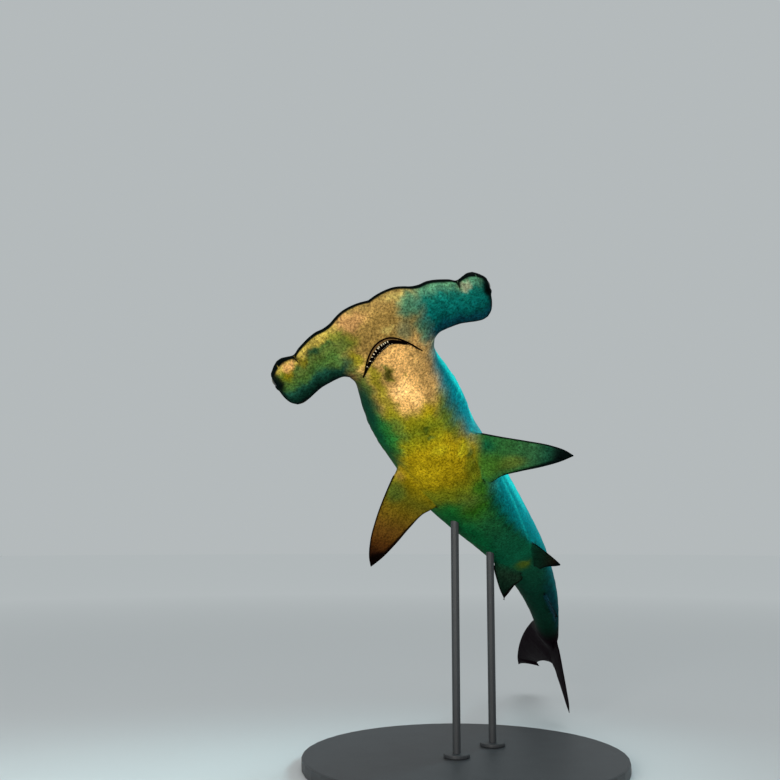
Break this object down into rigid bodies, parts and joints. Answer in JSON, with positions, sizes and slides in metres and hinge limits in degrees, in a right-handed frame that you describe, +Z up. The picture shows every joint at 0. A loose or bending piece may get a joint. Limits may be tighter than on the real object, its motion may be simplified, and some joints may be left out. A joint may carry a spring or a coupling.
{
  "type": "scalloped hammerhead shark model on a display stand",
  "caption": "Life-size swimming scalloped hammerhead shark, body curved and banked, held on slim rods over a round base.",
  "frame": {"origin": "centre of the underside of the round base", "axes": "+Z up from the floor, -Y the way the shark's nose points over the floor, +X to the shark's left"},
  "size_m": [1.0447, 2.1195, 1.4918],
  "materials": {
    "belly_skin": "satin, painted fine skin of the underside",
    "back_skin": "satin, painted fine skin of the back and flanks",
    "fin_skin": "satin, painted fins with dark tips",
    "eye": "polished dark eye",
    "tooth": "glossy ivory enamel",
    "stand_metal": "powder coated, matt dark grey"
  },
  "bodies": {
    "root": {"head": "belly_skin", "throat": "belly_skin", "trunk": "back_skin", "belly": "belly_skin", "tail": "back_skin", "tail_stem": "belly_skin", "eye_left": "eye", "eye_right": "eye", "pectoral_fin_left": "fin_skin", "pectoral_fin_right": "fin_skin", "pelvic_fin_left": "fin_skin", "pelvic_fin_right": "fin_skin", "first_dorsal_fin": "fin_skin", "second_dorsal_fin": "fin_skin", "anal_fin": "fin_skin", "caudal_fin_upper_lobe": "fin_skin", "caudal_fin_lower_lobe": "fin_skin", "stand_base": "stand_metal", "stand_collar_front": "stand_metal", "stand_collar_rear": "stand_metal", "stand_rod_front": "stand_metal", "stand_rod_rear": "stand_metal"}
  },
  "joints": []
}
